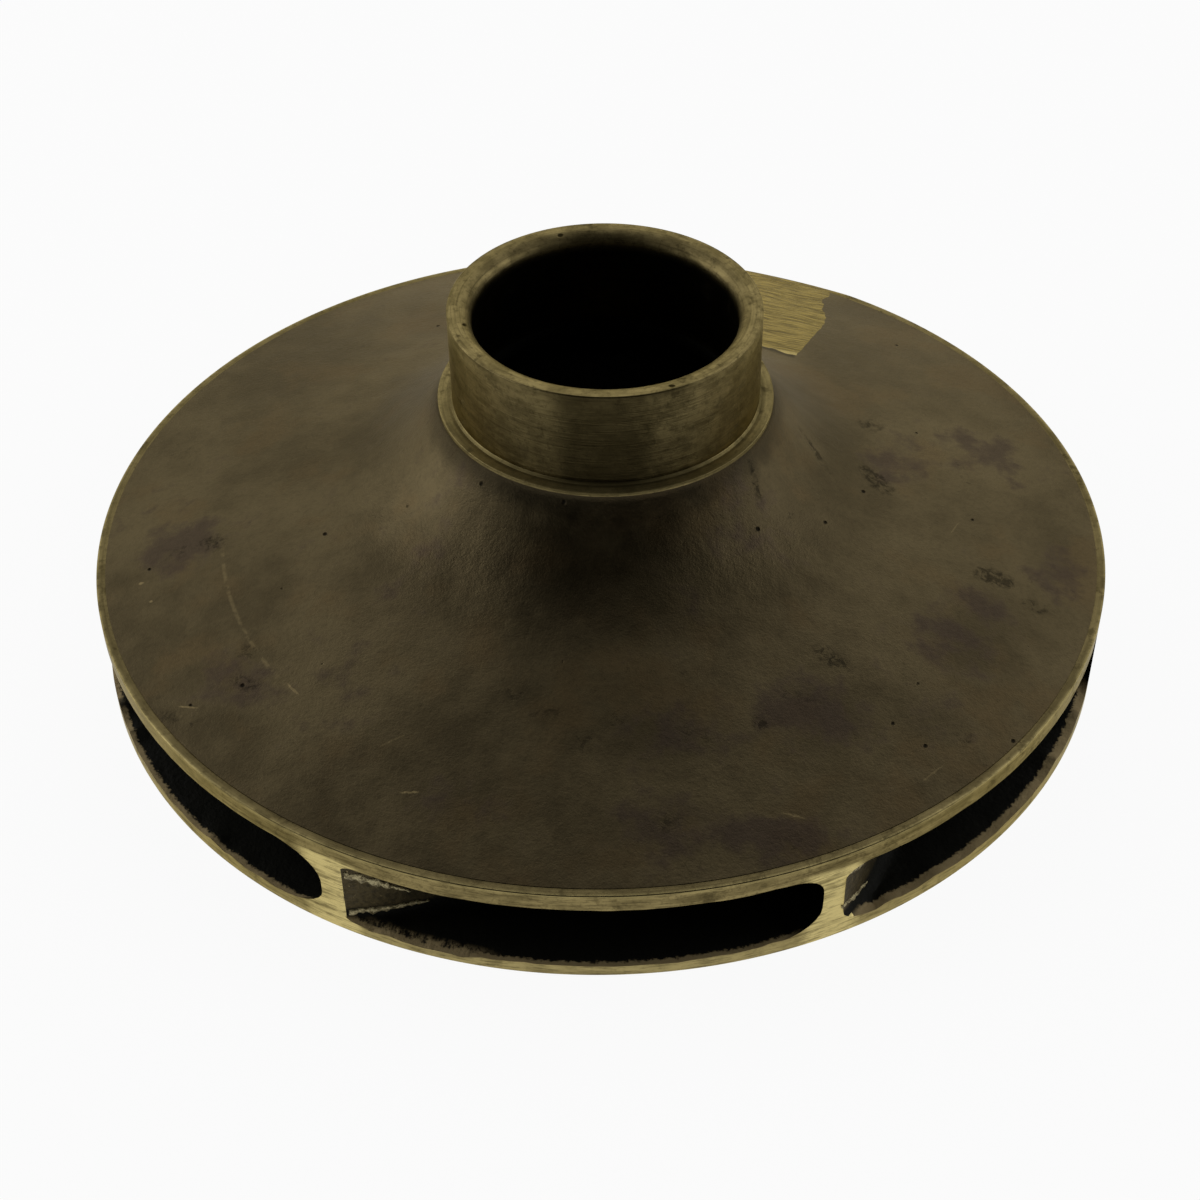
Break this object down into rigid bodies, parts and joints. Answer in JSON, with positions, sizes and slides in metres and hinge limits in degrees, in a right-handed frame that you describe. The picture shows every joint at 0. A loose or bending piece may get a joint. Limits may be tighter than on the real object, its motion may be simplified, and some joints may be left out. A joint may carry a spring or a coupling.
{
  "type": "pump impeller",
  "caption": "Closed centrifugal pump impeller: two shrouds with backward-curved vanes between them, a suction eye with a turned wear ring, and a keyed shaft bore.",
  "frame": {"origin": "on the shaft axis, in the plane of the faced back", "axes": "+Z along the shaft axis towards the suction eye; +X through the keyway"},
  "size_m": [0.178, 0.178, 0.0638],
  "materials": {
    "cast_bronze": "dark as-cast skin, bare metal where it is turned or ground"
  },
  "bodies": {
    "root": {"impeller": "cast_bronze"}
  },
  "joints": []
}
